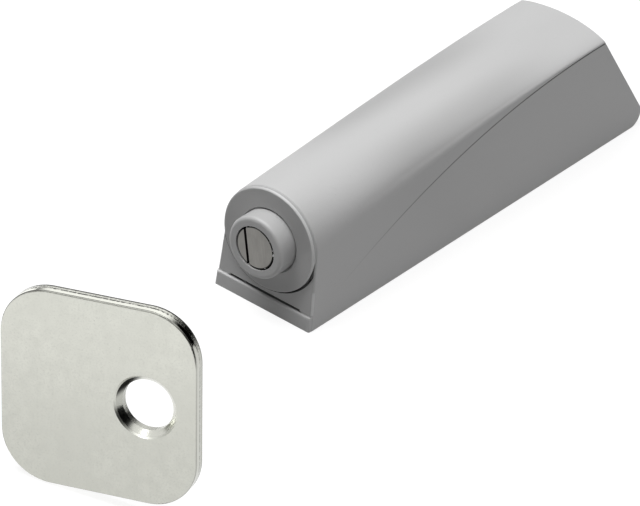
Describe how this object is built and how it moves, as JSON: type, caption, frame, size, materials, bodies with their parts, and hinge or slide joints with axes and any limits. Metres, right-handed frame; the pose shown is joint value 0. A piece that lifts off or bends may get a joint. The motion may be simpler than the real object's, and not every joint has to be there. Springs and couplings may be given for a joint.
{
  "type": "touch latch",
  "caption": "Push-to-open touch latch: magnet-tipped spring plunger in a screw-on plastic housing, with its steel strike plate.",
  "frame": {"origin": "midway between the two mounting screws, on the mounting face", "axes": "+Z away from the mounting face, plunger along -Y, the visible side of the picture towards +X"},
  "size_m": [0.032, 0.1266, 0.0282],
  "materials": {
    "housing_plastic": "fine matt grain",
    "cartridge_plastic": "satin",
    "inner_plastic": "plain moulded",
    "pole_steel": "ground, nickel plated",
    "magnet": "nickel plated",
    "spring_steel": "drawn wire",
    "strike_nickel": "nickel plated, faintly mottled"
  },
  "bodies": {
    "housing": {"housing_cover": "housing_plastic", "base_plate": "housing_plastic", "cartridge_sleeve": "cartridge_plastic", "sleeve_end_cap": "inner_plastic", "pin_retainer": "inner_plastic", "plunger_spring": "spring_steel", "strike_plate": "strike_nickel"},
    "plunger": {"plunger": "cartridge_plastic", "magnet": "magnet", "pole_plate_left": "pole_steel", "pole_plate_right": "pole_steel", "magnet_holder": "inner_plastic"},
    "follower": {"follower_pin": "spring_steel"}
  },
  "joints": [
    {"name": "plunger_slide", "type": "slide", "parent": "housing", "child": "plunger", "axis": [0, -1, 0], "range_m": [-0.002, 0.037], "deforming": ["plunger_spring"]},
    {"name": "follower_swing", "type": "hinge", "parent": "housing", "child": "follower", "pos_m": [0, -0.006, 0.0045], "axis": [0, 0, 1], "range_deg": [-3.5, 3.5]}
  ]
}
